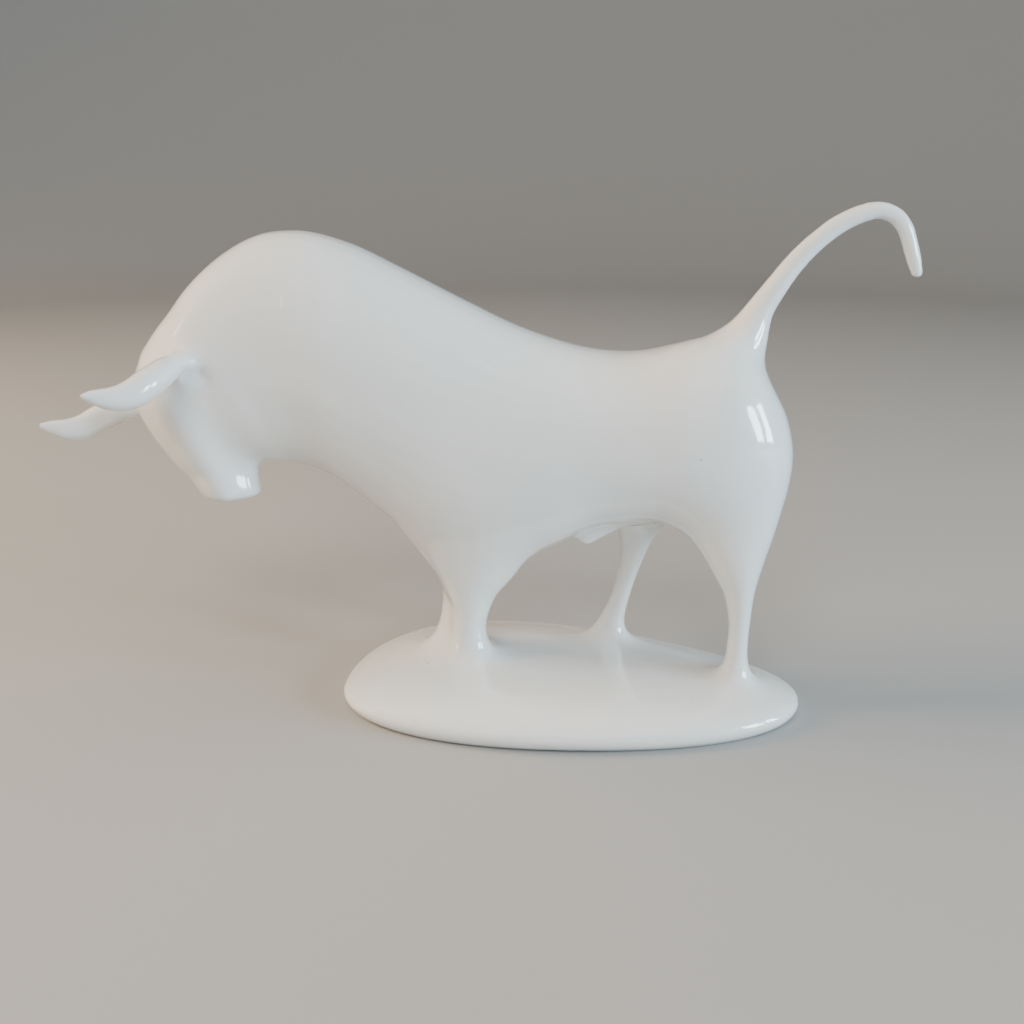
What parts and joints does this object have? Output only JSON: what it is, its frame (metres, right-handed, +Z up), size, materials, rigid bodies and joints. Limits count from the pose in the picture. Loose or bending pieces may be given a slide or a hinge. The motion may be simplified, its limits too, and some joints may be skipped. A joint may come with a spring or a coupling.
{
  "type": "bull sculpture",
  "caption": "Glazed porcelain bull with lowered, turned head, curved horns and a raised hooked tail, cast in one with a rounded pebble-shaped base.",
  "frame": {"origin": "middle of the base's flat underside", "axes": "+Z up; the bull faces -X with its body along X, and turns its head towards -Y"},
  "size_m": [0.3197, 0.107, 0.1876],
  "materials": {
    "glazed_porcelain": "gloss"
  },
  "bodies": {
    "root": {"bull": "glazed_porcelain"}
  },
  "joints": []
}
